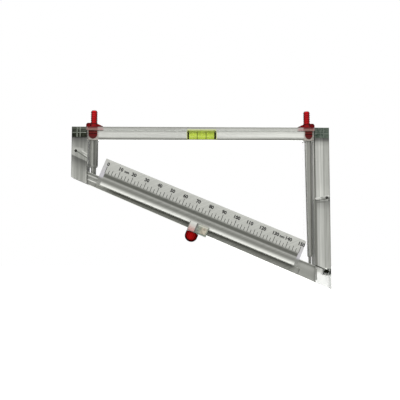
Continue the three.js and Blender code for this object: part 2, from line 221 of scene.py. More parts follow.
# Acrylic is painted in layers. A paint gives its colour and haze share, and a mask says where it lies.

def flat(colour, share):
    return lambda tree, waver: (colour, share)


def banded(direction, start, stops):
    """Bands stacked along direction, as (mm, colour, haze share) stops."""
    def paint(tree, waver):
        ordered = sorted(stops, key=lambda stop: stop[0])
        low, high = ordered[0][0], ordered[-1][0]
        along = between(tree, distance(tree, direction, start, waver), low, high)
        outputs = ramp(tree, along, [
            ((where - low) / (high - low), (*colour[:3], share)) for where, colour, share in ordered])
        return outputs["Color"], outputs["Alpha"]
    return paint


def patch(x, z, half_width, half_height, soft=0.5, turn=0.0, start=None):
    """A mask that is 1 in a rectangle of the XZ plane, x and z millimetres from start, turned in degrees."""
    angle = math.radians(turn)
    along, up = Vector((math.cos(angle), 0, math.sin(angle))), Vector((-math.sin(angle), 0, math.cos(angle)))
    centre = (TOP if start is None else start) + Vector((x, 0, z)) * MM

    def mask(tree):
        sides = []
        for direction, half in ((along, half_width), (up, half_height)):
            away = maths(tree, "ABSOLUTE", distance(tree, direction, centre), 0.0)
            sides.append(between(tree, away, half - soft / 2, half + soft / 2, 1.0, 0.0, smooth=True))
        return maths(tree, "MULTIPLY", *sides)
    return mask


def slope_patch(s0, s1, t0, t1, soft=0.5):
    """A patch between two distances along the slope and two heights above it."""
    middle_point = ALONG * (s0 + s1) / 2 + UP_SLOPE * (t0 + t1) / 2
    return patch(middle_point.x, middle_point.z, (s1 - s0) / 2, (t1 - t0) / 2, soft,
                 -math.degrees(SLOPE_ANGLE), SLOPE_START)


def disc(x, z, half_width, half_height, soft=0.12, start=None):
    """A round mask in the XZ plane, x and z millimetres from start."""
    centre = (TOP if start is None else start) + Vector((x, 0, z)) * MM

    def mask(tree):
        across = maths(tree, "DIVIDE", distance(tree, X, centre), half_width)
        up = maths(tree, "DIVIDE", distance(tree, Z, centre), half_height)
        away = maths(tree, "SQRT", maths(
            tree, "ADD", maths(tree, "POWER", maths(tree, "ABSOLUTE", across, 0.0), 2.0),
            maths(tree, "POWER", maths(tree, "ABSOLUTE", up, 0.0), 2.0)), 0.0)
        return between(tree, away, 1 - soft, 1 + soft, 1.0, 0.0, smooth=True)
    return mask


def both(first, second):
    """A mask where two masks overlap."""
    return lambda tree: maths(tree, "MULTIPLY", first(tree), second(tree))


def mottled(dark, light, share, scale=900):
    """A paint that wanders between two colours."""
    def paint(tree, waver):
        cloud = noise(tree, stretched(tree, (1, 1, 1)), scale, 3)
        return ramp(tree, cloud, [(0.35, dark), (0.65, light)])["Color"], share
    return paint


def facing(direction):
    """A mask that is 1 on the faces that look along direction."""
    def mask(tree):
        normal = add_node(tree, "ShaderNodeNewGeometry").outputs["True Normal"]
        aligned = add_node(
            tree, "ShaderNodeVectorMath", {0: normal, 1: direction}, operation="DOT_PRODUCT")
        return between(tree, aligned.outputs["Value"], 0.6, 0.8)
    return mask


def leg_shade(stops):
    """Brightness by the distance across from the axis of the nearer leg, as (mm, level) stops."""
    def level(tree, waver):
        across = maths(tree, "ABSOLUTE", distance(tree, X, TOP), 0.0)
        away = maths(tree, "ABSOLUTE", maths(tree, "SUBTRACT", across, LEG_X), 0.0)
        return ramp(tree, between(tree, away, stops[0][0], stops[-1][0]), [
            ((where - stops[0][0]) / (stops[-1][0] - stops[0][0]), grey(value))
            for where, value in stops])["Color"]
    return level


def shade(direction, start, stops):
    """Brightness along direction, as (mm, level) stops."""
    def level(tree, waver):
        low, high = stops[0][0], stops[-1][0]
        along = between(tree, distance(tree, direction, start, waver), low, high)
        return ramp(tree, along, [
            ((where - low) / (high - low), grey(value)) for where, value in stops])["Color"]
    return level


def widest(tree, masks):
    """The greatest of several masks, or 0 where there are none."""
    value = 0.0
    for where in masks:
        value = maths(tree, "MAXIMUM", where(tree), value)
    return value


def acrylic(name, base, stretch, turn_y=0.0, contrast=0.1, haze_rough=0.12, layers=(), shades=(),
            windows=(), glows=()):
    """Clear or hazy acrylic. contrast: how strongly its streaks show. layers: (mask, paint) pairs.

    windows: masks where it doesn't bend the light. glows: masks where it glows with painted light, standing
    in for its polished edge lit from inside.
    """
    material, tree = new_material(name)
    streaks = noise(tree, stretched(tree, stretch, turn_y), 1.0, 4, 0.6)
    colour, share = base(tree, streaks)
    fine = between(tree, streaks, 0.3, 0.7, 1 - contrast, 1 + contrast)
    colour = blend_colours(tree, 1.0, colour, fine, "MULTIPLY")
    for level in shades:
        colour = blend_colours(tree, 1.0, colour, level(tree, streaks), "MULTIPLY")
    for where, paint in layers:
        mask = where(tree)
        new_colour, new_share = paint(tree, streaks)
        colour = blend_colours(tree, mask, colour, new_colour)
        share = maths(tree, "MULTIPLY_ADD", mask, maths(tree, "SUBTRACT", new_share, share), share)
    shader = add_node(tree, "ShaderNodeBsdfPrincipled", {
        "Base Color": colour,
        "IOR": between(tree, widest(tree, windows), 0.0, 1.0, ACRYLIC_IOR, 1.03),
        "Emission Color": colour,
        "Emission Strength": maths(tree, "MULTIPLY", widest(tree, glows), EDGE_GLOW),
        "Roughness": maths(tree, "MULTIPLY_ADD", share, haze_rough, 0.02),
        "Transmission Weight": maths(tree, "SUBTRACT", 1.0, share),
        "Normal": bump(tree, streaks, 0.08)})
    output(tree, shader.outputs[0])
    return material


def plastic(name, dark, light, roughness=0.35, scale=900, bump_strength=0.1, metallic=0.0,
            specular=0.35, edge=None, edge_span=(0.12, 0.7), glow=0.0, clear=0.0, shades=()):
    """Moulded plastic, rubber or metal with a fine grain. edge: a painted shade colour where it turns from
    the eye. glow: how strongly it glows with painted light.
    """
    material, tree = new_material(name)
    grain = noise(tree, stretched(tree, (1, 1, 1)), scale, 4)
    patches = noise(tree, stretched(tree, (1, 1, 1)), scale / 8, 2)
    colour = ramp(tree, patches, [(0.3, dark), (0.7, light)])["Color"]
    if edge:
        turned_away = add_node(tree, "ShaderNodeLayerWeight", {"Blend": 0.5}).outputs["Facing"]
        colour = blend_colours(
            tree, between(tree, turned_away, *edge_span, smooth=True), colour, edge)
    for level in shades:
        colour = blend_colours(tree, 1.0, colour, level(tree, None), "MULTIPLY")
    rough = ramp(tree, grain, [
        (0.3, grey(roughness * 0.8)), (0.7, grey(min(1, roughness * 1.25)))])["Color"]
    shader = add_node(tree, "ShaderNodeBsdfPrincipled", {
        "Base Color": colour, "Roughness": rough, "Metallic": metallic,
        "Specular IOR Level": specular, "Emission Color": colour, "Emission Strength": glow,
        "Transmission Weight": clear, "Normal": bump(tree, grain, bump_strength, 0.00005)})
    output(tree, shader.outputs[0])
    return material


# ---------- materials of the clear frame ----------

UPRIGHT_STREAKS = (900, 900, 25)
LEVEL_STREAKS = (18, 700, 900)
FINE_SLOPE_STREAKS = (14, 900, 1700)
CLEAR = flat(rgb(240, 244, 236), 0.0)
WATER_CLEAR = flat(rgb(255, 255, 255), 0.0)
NEARLY_CLEAR = flat(rgb(236, 238, 230), 0.12)
MAGNET_IN, MAGNET_DOWN = 10.7, 7.7
HALF_WIDTH = cad_high.x / MM


def corner(sign, dark, light):
    """The dark corner in front of one magnet."""
    inset = MAGNET_IN / 2
    return [(patch(sign * (HALF_WIDTH - inset + 1), -MAGNET_DOWN / 2 + 1, inset + 0.9,
                   MAGNET_DOWN / 2 + 0.9, 0.5), mottled(dark, light, 1.0))]


# The right corner's paler mottle is painted reflection.
DARK_CORNERS = [*corner(-1, rgb(24, 27, 20), rgb(56, 60, 50)), *corner(1, rgb(44, 56, 48), rgb(92, 102, 92))]


def leg_places():
    """Where the two valves show through the bar."""
    return [patch(sign * LEG_X, -4.2, 3.3, 8, 0.9) for sign in (-1, 1)]


def flange_shadow():
    """The strip in front of the two valves, tinted by the red flanges above it."""
    layers = []
    for _, sign in SIDES:
        layers.append((patch(sign * (LEG_X - 5.0), -1.7, 2.6, 0.9, 1.8), flat(rgb(186, 150, 150), 0.8)))
        layers.append((patch(sign * (LEG_X + 3.8), -2.0, 1.2, 1.6, 1.4), flat(rgb(170, 136, 134), 0.8)))
        layers.append((patch(sign * LEG_X, -1.2, 3.7, 1.5, 0.9), banded(Z, TOP, [
            (-2.4, rgb(146, 112, 104), 0.8), (-1.6, rgb(152, 120, 112), 0.8),
            (-0.8, rgb(120, 74, 72), 0.8), (0.0, rgb(116, 40, 44), 0.8)])))
    return layers


def plugs_behind():
    """The bar in front of the two valves: their plugs painted on it dark red, darkened as painted shade,
    with the black ring across them.
    """
    plug = banded(Z, TOP, [
        (-8.8, rgb(66, 30, 30), 0.95), (-7.6, rgb(84, 42, 40), 0.95), (-6.2, rgb(92, 32, 32), 0.95),
        (-5.0, rgb(104, 30, 30), 0.95), (-4.7, rgb(44, 20, 20), 1.0), (-4.3, rgb(40, 18, 18), 1.0),
        (-4.0, rgb(118, 46, 44), 0.95), (-3.2, rgb(88, 30, 26), 0.95), (-2.4, rgb(120, 66, 62), 0.8)])
    layers = []
    for at, half in ((-LEG_X, 3.2), (LEG_X + 0.5, 2.7)):
        layers.append((patch(at, -5.8, half + 0.7, 4, 1.6), flat(rgb(182, 176, 168), 0.75)))
        layers.append((patch(at, -4.0, half, 2.0, 0.6), plug))
        layers.append((disc(at, -5.2, half, 3.2), plug))
    return layers


BRIGHTER_RIGHT = shade(X, TOP, [(-80, 0.84), (-20, 0.86), (30, 1.0), (80, 1.0)])


LEVEL_X = (middle("level_vial") - TOP).x / MM
LEVEL_HALF = (corners("level_backing")[1].x - corners("level_backing")[0].x) / 2 / MM


def strip_acrylic():
    # Painted reflection: the spirit's yellow-green, painted in the strip just above the vial and on the
    # pocket's ceiling.
    above_vial = flat(rgb(206, 214, 160), 0.85)
    ceiling = both(facing(-Z), patch(LEVEL_X, -1.2, LEVEL_HALF, 3, 0.2))
    return acrylic("strip_acrylic", banded(Z, TOP, [
        (-2.4, rgb(186), 0.8), (-2.1, rgb(202), 0.8), (-1.5, rgb(204), 0.8), (-0.9, rgb(186), 0.75),
        (-0.4, rgb(166), 0.75), (0.0, rgb(140), 0.75)]), LEVEL_STREAKS, contrast=0.17,
        shades=[BRIGHTER_RIGHT], layers=[
            (patch(LEVEL_X, -2.0, LEVEL_HALF, 0.5, 0.7), above_vial), *flange_shadow(),
            (facing(-Z), CLEAR), (ceiling, flat(rgb(188, 200, 112), 0.9)), *DARK_CORNERS],
        windows=[mask for mask, _ in DARK_CORNERS])


def bar_acrylic():
    beside_vial = flat(rgb(206, 210, 140), 0.85)
    # Painted light: between the legs the bar's underside is painted white and glows, standing in for the
    # white background refracted in it.
    glowing_underside = patch(0, -9.2, LEG_X - 3.5, 2, 0.3)
    return acrylic("bar_acrylic", banded(Z, TOP, [
        (-9.2, rgb(176), 0.6), (-8.9, rgb(146), 0.85), (-8.4, rgb(128), 0.85), (-8.0, rgb(152), 0.85),
        (-7.5, rgb(190), 0.8), (-6.8, rgb(226), 0.8), (-6.0, rgb(238), 0.8), (-5.0, rgb(228), 0.8),
        (-4.3, rgb(232), 0.8), (-3.4, rgb(242), 0.8), (-3.0, rgb(226), 0.8), (-2.5, rgb(186), 0.8)]),
        LEVEL_STREAKS, contrast=0.14, shades=[BRIGHTER_RIGHT], windows=leg_places(), layers=[
            (patch(LEVEL_X, -5.8, LEVEL_HALF + 0.5, 2.8, 0.6), beside_vial),
            (facing(Y), NEARLY_CLEAR), *plugs_behind(),
            (facing(-Z), flat(rgb(150), 0.9)),
            (both(facing(-Z), glowing_underside), flat(rgb(255, 255, 255), 0.9))],
        glows=[both(facing(-Z), glowing_underside)])


VENT_LINE = -33.0  # the slope of the left vent channel, in degrees


def left_block():
    outer, inner = extent("left_end_block", X, TOP)
    dark_line = flat(rgb(72, 78, 70), 0.95)
    pale_line = flat(rgb(212), 0.85)
    inner_side = banded(Z, TOP, [
        (-60, rgb(150), 0.9), (-44, rgb(148), 0.9), (-38, rgb(104), 0.9), (-29, rgb(112), 0.9),
        (-26, rgb(204), 0.9), (0, rgb(206), 0.9)])
    return acrylic("left_block_acrylic", banded(X, TOP, [
        (outer, rgb(150), 0.85), (outer + 0.6, rgb(200), 0.8), (outer + 1.6, rgb(180), 0.85),
        (outer + 2.6, rgb(168), 0.85), (outer + 3.6, rgb(163), 0.85), (outer + 4.6, rgb(152), 0.85),
        (outer + 5.6, rgb(160), 0.85), (outer + 6.6, rgb(150), 0.85), (outer + 8.6, rgb(160), 0.85),
        (inner - 0.6, rgb(166), 0.85), (inner, rgb(150), 0.85)]),
        UPRIGHT_STREAKS, contrast=0.26, shades=[
            shade(Vector((0.42, 0, 0.91)), TOP, [
                (-82, 1.1), (-72, 1.12), (-66, 0.92), (-62, 0.66), (-59.2, 0.42), (-57.7, 0.36),
                (-57.2, 0.92), (-54, 1.06), (-50, 1.0)]),
            shade(Z, TOP, [
                (-20, 1.0), (-15, 0.86), (-12, 0.68), (-10.2, 0.51), (-8.7, 0.4), (-7.6, 0.13)])],
        layers=[
            (patch(-87.8, -16.4, 3.4, 1.0, 1.4, -10), flat(rgb(178), 0.85)),
            (disc(-90.0, -16.9, 1.8, 1.3, 0.4), flat(rgb(176), 0.95)),
            (patch(-85.4, -20.4, 4.8, 0.26, 0.7, VENT_LINE), dark_line),
            (patch(-83.6, -18.9, 2.6, 0.36, 0.8, VENT_LINE), pale_line),
            (patch(-83.0, -21.0, 1.6, 0.3, 0.6, VENT_LINE), pale_line),
            (facing(X), inner_side),
            DARK_CORNERS[0]], windows=[DARK_CORNERS[0][0]])


def right_block():
    inner, outer = extent("right_end_block", X, TOP)
    dark_line = flat(rgb(84), 0.9)
    pale_line = flat(rgb(226), 0.8)
    # Painted highlight: the lower corner fades to nearly white and nearly clear.
    pale_corner_highlight = banded(Z, TOP, [
        (-116, rgb(253, 254, 252), 0.3), (-106, rgb(252, 253, 250), 0.35), (-103.6, rgb(222), 0.6),
        (-101, rgb(186), 0.8)])
    black = flat(rgb(16), 1.0)
    black_places = [
        disc(89.7, -104.0, 2.1, 1.4, 0.15), patch(91.6, -104.2, 1.4, 0.5, 0.4, -20),
        patch(92.7, -104.0, 0.4, 2.0, 0.4)]
    return acrylic("right_block_acrylic", banded(X, TOP, [
        (inner, rgb(112), 0.85), (inner + 0.3, rgb(74), 0.9), (inner + 0.7, rgb(110), 0.9),
        (inner + 1.2, rgb(182), 0.8), (inner + 2.2, rgb(190), 0.8), (inner + 3.2, rgb(200), 0.8),
        (inner + 4.2, rgb(206), 0.8), (inner + 5.2, rgb(198), 0.8), (inner + 6.2, rgb(200), 0.8),
        (inner + 7.0, rgb(162), 0.85), (inner + 8.0, rgb(182), 0.8), (inner + 9.4, rgb(180), 0.8),
        (outer - 0.8, rgb(174), 0.8), (outer, rgb(146), 0.85)]),
        UPRIGHT_STREAKS, contrast=0.2, shades=[
            shade(Z, TOP, [
                (-101, 0.98), (-70, 0.92), (-60, 0.84), (-55.5, 0.62), (-53.2, 0.54), (-52.7, 1.08),
                (-48, 1.12), (-40, 1.0), (-14, 1.0), (-11.7, 0.84), (-10.7, 0.75), (-9.7, 0.44),
                (-8.7, 0.3), (-7.6, 0.24)])],
        layers=[
            (patch(inner + 0.9, -80, 0.7, 27, 0.6), flat(rgb(116), 0.9)),
            (patch(87.4, -50.6, 5.2, 0.4, 0.7, 12), pale_line),
            (disc(89.4, -51.2, 3.2, 0.9, 0.3), flat(rgb(132), 0.9)),
            (disc(89.2, -51.1, 2.0, 0.4, 0.4), flat(rgb(176), 0.9)),
            (patch(86.6, -52.6, 5.0, 0.3, 0.6, 8), dark_line),
            (patch(86.6, -54.2, 3.6, 0.34, 1.0, 2), flat(rgb(112), 0.9)),
            (patch(92.4, -52.2, 0.5, 1.4, 0.7), dark_line),
            (patch(87.5, -110.0, 8, 7.4, 3.5, -12), pale_corner_highlight),
            (patch(91.2, -104.0, 4.2, 2.4, 1.2), CLEAR),
            (patch(85.8, -101.2, 5.8, 0.42, 0.5, -math.degrees(SLOPE_ANGLE)), flat(rgb(44), 0.95)),
            *((place, black) for place in black_places),
            (patch(91.4, -108.0, 0.16, 3.0, 0.5, 6), flat(rgb(196), 0.7)),
            (patch(89.0, -106.6, 0.14, 1.8, 0.5, -14), flat(rgb(206), 0.7)),
            (patch(inner + 0.5, -106.0, 0.5, 4.0, 0.8), flat(rgb(110), 0.9)),
            (facing(-X), banded(Z, TOP, [
                (-110, rgb(176), 0.9), (-56, rgb(182), 0.9), (-50, rgb(226), 0.9), (0, rgb(220), 0.9)])),
            DARK_CORNERS[1]], windows=[DARK_CORNERS[1][0], *black_places])


def incline_acrylic():
    low_s, high_s = extent("scale_plate", ALONG, SLOPE_START)
    ends = banded(UP_SLOPE, SLOPE_START, [
        (-11, rgb(152), 0.85), (-9.4, rgb(152), 0.85), (-7.5, rgb(147), 0.85), (-5.4, rgb(153), 0.8),
        (-3.6, rgb(164), 0.8), (-2.4, rgb(166), 0.8), (-1.5, rgb(140), 0.85), (-1.0, rgb(104), 0.9),
        (-0.5, rgb(140), 0.8), (0.0, rgb(186), 0.7)])
    # The dark band just under the scale plate is painted shadow of the plate; beyond the plate's ends the
    # lighter ends paint replaces it.
    return acrylic("incline_acrylic", banded(UP_SLOPE, SLOPE_START, [
        (-10.6, rgb(130), 0.9), (-9.6, rgb(128), 0.9), (-8.6, rgb(120), 0.9), (-7.8, rgb(106), 0.92),
        (-7.2, rgb(88), 0.95), (-6.6, rgb(68), 0.95), (-5.9, rgb(62), 0.95), (-5.6, rgb(160), 0.8),
        (-3.0, rgb(166), 0.8), (-1.0, rgb(140), 0.8), (0.0, rgb(150), 0.8)]),
        FINE_SLOPE_STREAKS, SLOPE_ANGLE, contrast=0.26, layers=[
            (slope_patch(-120, low_s + 8, -12, 1, 14), ends),
            # The pale lines by the plate's left end are painted highlights.
            (slope_patch(low_s - 7, low_s + 6, -5.6, -4.9, 0.6), flat(rgb(232), 0.9)),
            (slope_patch(low_s - 9, low_s + 4, -2.4, -1.9, 0.5), flat(rgb(212), 0.9)),
            (slope_patch(low_s - 9, low_s + 4, -3.6, -3.2, 0.5), flat(rgb(118), 0.9)),
            (slope_patch(high_s - 1, 120, -12, 1, 5), ends),
            # The underside glows with painted light.
            (facing(-Z), NEARLY_CLEAR)], glows=[facing(-Z)])


def plate_plastic():
    """The scale plate. Its lower part is clearer and shows the bar behind it."""
    low_s, high_s = extent("scale_plate", ALONG, SLOPE_START)
    rail_from, rail_to = extent("guide_rail", ALONG, SLOPE_START)
    # The bright line near the plate's bottom edge is a painted highlight.
    body = [
        (-5.7, rgb(190), 0.9), (-5.4, rgb(232), 0.95), (-4.9, rgb(238), 0.95), (-4.4, rgb(226), 0.9),
        (-3.8, rgb(206), 0.9), (-3.2, rgb(166), 0.85), (-2.6, rgb(144), 0.85), (-2.0, rgb(130), 0.85),
        (-1.0, rgb(140), 0.85), (-0.1, rgb(166), 0.85), (0.4, rgb(164), 0.85), (0.8, rgb(134), 0.85)]
    printed = [(3.9, rgb(170), 0.95), (4.5, rgb(186), 0.95), (9.0, rgb(186), 0.95),
               (12.4, rgb(190), 0.95), (13.2, rgb(196), 0.95), (13.7, rgb(186), 0.95)]
    behind_rail = [(1.0, rgb(108), 0.9), (1.6, rgb(98), 0.92), (2.4, rgb(98), 0.92), (3.0, rgb(112), 0.92),
                   (3.5, rgb(150), 0.92)]
    ends = banded(UP_SLOPE, SLOPE_START, [
        (-5.7, rgb(156), 0.7), (-5.0, rgb(176), 0.7), (-3.6, rgb(168), 0.6), (-1.4, rgb(156), 0.6),
        (0.4, rgb(206, 204, 210), 0.75), (6.0, rgb(196, 195, 196), 0.9), (13.7, rgb(186), 0.95)])
    return acrylic(
        "scale_plastic", banded(UP_SLOPE, SLOPE_START, body + behind_rail + printed),
        FINE_SLOPE_STREAKS, SLOPE_ANGLE, contrast=0.13, layers=[
            (slope_patch(low_s - 5, rail_from, -6, 14, 0.7), ends),
            (slope_patch(rail_to, high_s + 5, -6, 14, 0.7), ends)])


def clamp_plastic():
    pink = banded(UP_SLOPE, SLOPE_START, [
        (-11.2, rgb(150, 108, 104), 0.9), (-10.6, rgb(196, 150, 146), 0.9),
        (-9.0, rgb(194, 166, 158), 0.9), (-7.6, rgb(208, 196, 190), 0.9), (-6.4, rgb(204), 0.9),
        (-4.3, rgb(222), 0.9)])
    return acrylic("clamp_plastic", banded(ALONG, SLOPE_START, [
        (-6.2, rgb(140), 0.9), (-1.2, rgb(140), 0.9), (-0.7, rgb(96), 0.9), (-0.1, rgb(120), 0.9),
        (0.6, rgb(132, 140, 130), 0.9), (2.6, rgb(152, 154, 138), 0.9), (4.4, rgb(172, 164, 146), 0.9),
        (6.6, rgb(182, 174, 158), 0.9), (7.8, rgb(146, 150, 136), 0.9), (8.3, rgb(90, 100, 88), 0.9)]),
        (700, 700, 700), contrast=0.34, haze_rough=0.3, layers=[
            (slope_patch(0.2, 9, -12, -10.4, 0.8), flat(rgb(112, 124, 110), 0.9)),
            (slope_patch(0.4, 7.6, -5.6, -4.6, 0.8), flat(rgb(196, 198, 186), 0.9)),
            (slope_patch(4.4, 7.2, -8.6, -7.5, 0.8), flat(rgb(196, 190, 170), 0.9)),
            (slope_patch(-5.7, -1.1, -12, -4, 0.5), pink)])


def tube_acrylic(side, sign):
    """A well tube: light and dark lines down its length where its wall and bore bend the light."""
    axis = TOP + X * sign * LEG_X * MM
    radius = extent(f"{side}_well_tube", X, axis)[1]
    outward = X * sign
    stops = {
        "left": [(-1.0, 60), (-0.86, 100), (-0.6, 118), (-0.3, 104), (-0.12, 120), (0.05, 152),
                 (0.28, 176), (0.4, 150), (0.58, 176), (0.74, 190), (0.88, 168), (1.0, 104)],
        "right": [(-1.0, 190), (-0.5, 186), (-0.32, 168), (0.0, 148), (0.2, 156), (0.38, 178),
                  (0.56, 146), (0.66, 128), (0.8, 172), (0.92, 160), (1.0, 120)],
    }[side]
    clear_edge = patch(LEG_X - 3.3, -48, 2.5, 46.5, 0.4, 0.9)
    clear_neck = patch(LEG_X - 2.6, -100, 3.0, 6.2, 0.4)
    far_side = side == "right"
    return acrylic(
        f"{side}_tube_acrylic", banded(outward, axis, [
            (at * radius, rgb(level), 0.85) for at, level in stops]), (1300, 1300, 10), contrast=0.2,
        layers=[(clear_edge, WATER_CLEAR), (clear_neck, WATER_CLEAR)] if far_side else (),
        windows=[clear_edge, clear_neck] if far_side else (),
        shades=[shade(Z, TOP, [(-40, 1.3), (-30, 1.3), (-27, 1.0)])] if not far_side else ())


BARB_PITCH, BARB_COUNT, FIRST_BARB = 1.5, 6, 4.0


def barb_shadows():
    """Painted shade in the grooves between the barbs and painted highlights on their lips, as stops for a
    shade up the stem.
    """
    stops = [(0, 1.0)]
    for i in range(BARB_COUNT):
        foot = FIRST_BARB + i * BARB_PITCH
        stops += [(foot - 0.5, 0.25), (foot - 0.2, 0.25), (foot + 0.15, 1.35), (foot + 0.65, 1.15)]
    return stops


materials = {
    "left_block": left_block(),
    "right_block": right_block(),
    "bar": bar_acrylic(),
    "strip": strip_acrylic(),
    "incline": incline_acrylic(),
    "left_tube": tube_acrylic("left", -1),
    "right_tube": tube_acrylic("right", 1),
    "plate": plate_plastic(),
    "clamp": clamp_plastic(),
    "red": plastic("red_plastic", rgb(170, 12, 20), rgb(196, 26, 30), 0.32, edge=rgb(40, 1, 6),
                   edge_span=(0.1, 0.62), specular=0.08, shades=[
                       shade(Z, TOP, [(-0.4, 0.2), (0.1, 0.3), (0.9, 0.55), (2.0, 1.0)]),
                       shade(Z, TOP, barb_shadows()), leg_shade([(2.4, 1.12), (3.6, 0.95), (6.4, 0.4)])]),
    "knob": plastic("knob_plastic", rgb(140, 12, 12), rgb(164, 18, 18), 0.4, edge=rgb(16, 0, 1),
                    edge_span=(0.04, 0.5), specular=0.0, shades=[
                        shade(Vector((0.8, 0, -0.6)), middle("clamp_knob"), [
                            (-4.7, 1.0), (-1.0, 1.05), (1.5, 0.8), (4.7, 0.3)])]),
    "rubber": plastic("black_rubber", rgb(18, 17, 15), rgb(34, 32, 29), 0.7),
    "magnet": plastic("black_ferrite", rgb(6, 8, 4), rgb(22, 26, 18), 0.7, scale=2200, specular=0.08),
    # The right magnet is painted paler and mottled: painted reflection.
    "green_magnet": plastic(
        "ferrite_with_painted_reflections", rgb(22, 32, 24), rgb(58, 70, 58), 0.7, scale=1400, specular=0.1),
    "seam": plastic("bond_lines", rgb(112, 120, 108), rgb(164, 170, 158), 0.4),
    "faint_seam": plastic("faint_bond_lines", rgb(84, 94, 86), rgb(116, 124, 116), 0.4),
    "nylon": plastic("white_nylon", rgb(215, 210, 198), rgb(232, 228, 216), 0.5),
    "seat": plastic("clear_nylon", rgb(196, 176, 166), rgb(214, 196, 186), 0.1, clear=0.85),
    # Painted light: the vial glass, the spirit and the level's backing card glow a little; the spirit's
    # darker outline is painted shade.
    "vial": plastic("vial_glass", rgb(212, 224, 120), rgb(226, 236, 140), 0.03, bump_strength=0.02,
                    clear=0.8, specular=0.5, glow=0.12),
    "fluid": plastic("vial_fluid", rgb(194, 208, 52), rgb(218, 230, 90), 0.2, scale=900, glow=0.32,
                     edge=rgb(150, 160, 40)),
    "card": plastic("pale_card", rgb(226, 232, 186), rgb(238, 242, 204), 0.7, glow=0.2),
    "plug": plastic("black_plastic", rgb(14, 14, 12), rgb(34, 34, 30), 0.45, specular=0.2),
    "rail": plastic("rail_plastic", rgb(88, 88, 84), rgb(122, 122, 118), 0.4),
    "ink": plastic("black_ink", rgb(22, 22, 22), rgb(44, 43, 42), 0.6, scale=3000),
    "brass": plastic("brass", rgb(190, 150, 70), rgb(220, 180, 96), 0.3, metallic=1.0),
    "steel": plastic("steel", rgb(150, 150, 150), rgb(190, 190, 190), 0.3, metallic=1.0),
}

looks = {
    "left_block": ["left_end_block"],
    "right_block": ["right_end_block"],
    "bar": ["top_bar"],
    "strip": ["top_strip"],
    "incline": ["incline_bar"],
    "left_tube": ["left_well_tube"],
    "right_tube": ["right_well_tube"],
    "red": ["left_hose_connector", "right_hose_connector"],
    "knob": ["clamp_knob"],
    "rubber": ["left_tube_seal", "right_tube_seal", "left_valve_ring", "right_valve_ring",
               "level_left_cap", "level_right_cap", "drain_washer"],
    "magnet": ["left_magnet"],
    "green_magnet": ["right_magnet"],
    "seat": ["left_valve_seat", "right_valve_seat"],
    "nylon": ["clamp_pad"],
    "vial": ["level_vial"],
    "fluid": ["level_fluid"],
    "card": ["level_backing"],
    "plug": ["drain_plug"],
    "plate": ["scale_plate"],
    "rail": ["guide_rail"],
    "clamp": ["clamp_block"],
    "brass": ["clamp_insert"],
    "steel": ["clamp_stud"],
}


def soften(piece, width, segments=2):
    """A small round on every sharp edge, so that edges catch the light."""
    modifier = piece.modifiers.new("edge_round", "BEVEL")
    modifier.width = width * MM
    modifier.segments = segments
    modifier.limit_method = "ANGLE"
    modifier.angle_limit = math.radians(40)
    modifier.use_clamp_overlap = True
    modifier.harden_normals = False


for look, names in looks.items():
    for name in names:
        nodes[name].data.materials.clear()
        nodes[name].data.materials.append(materials[look])

for name in ("left_magnet", "right_magnet", "guide_rail", "scale_plate", "level_backing", "clamp_block",
             "top_strip", "top_bar", "incline_bar", "left_end_block", "right_end_block"):
    soften(nodes[name], 0.15)


# ---------- mesh building ----------

def finish_piece(name, mesh, look, body, replaced=(), smooth_below=35):
    """Links a mesh as a piece that rides on a body, with its edges sharp above an angle."""
    mesh.materials.clear()
    mesh.materials.append(materials[look])
    for polygon in mesh.polygons:
        polygon.use_smooth = True
    mesh.set_sharp_from_angle(angle=math.radians(smooth_below))
    piece = bpy.data.objects.new(name, mesh)
    bpy.context.scene.collection.objects.link(piece)
    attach(piece, body)
    if replaced:
        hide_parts(*replaced)
    return piece


def mesh_of(bm, name):
    bmesh.ops.recalc_face_normals(bm, faces=bm.faces)
    mesh = bpy.data.meshes.new(name)
    bm.to_mesh(mesh)
    bm.free()
    return mesh


def rounded(outline, radius, closed=False, steps=4):
    """An outline with each corner turned into a small curve."""
    count = len(outline)
    result = []
    for i, point in enumerate(outline):
        if not closed and i in (0, count - 1):
            result.append(point)
            continue
        here = Vector(point)
        before, after = Vector(outline[i - 1]) - here, Vector(outline[(i + 1) % count]) - here
        reach = min(radius, before.length / 2.2, after.length / 2.2)
        start, end = here + before.normalized() * reach, here + after.normalized() * reach
        for step in range(steps + 1):
            share = step / steps
            curve = start * (1 - share) ** 2 + here * 2 * share * (1 - share) + end * share ** 2
            result.append(tuple(curve))
    return result


def add_turned(bm, outline, place, segments=96, closed=False, radius_at=None):
    """A turned surface from (radius, height) points in millimetres. radius_at changes a radius by angle."""
    rings = []
    for r, z in outline:
        if r < 1e-6:
            rings.append([bm.verts.new(place @ Vector((0, 0, z * MM)))])
            continue
        ring = []
        for i in range(segments):
            angle = 2 * math.pi * i / segments
            at = radius_at(r, z, angle) if radius_at else r
            ring.append(bm.verts.new(
                place @ Vector((at * math.cos(angle) * MM, at * math.sin(angle) * MM, z * MM))))
        rings.append(ring)
    pairs = list(zip(rings, rings[1:]))
    if closed:
        pairs.append((rings[-1], rings[0]))
    for lower, upper in pairs:
        for i in range(segments):
            j = (i + 1) % segments
            if len(lower) == 1:
                bm.faces.new((lower[0], upper[i], upper[j]))
            elif len(upper) == 1:
                bm.faces.new((lower[i], lower[j], upper[0]))
            else:
                bm.faces.new((lower[i], lower[j], upper[j], upper[i]))


def turned_mesh(name, outline, place, **settings):
    bm = bmesh.new()
    add_turned(bm, outline, place, **settings)
    return mesh_of(bm, name)


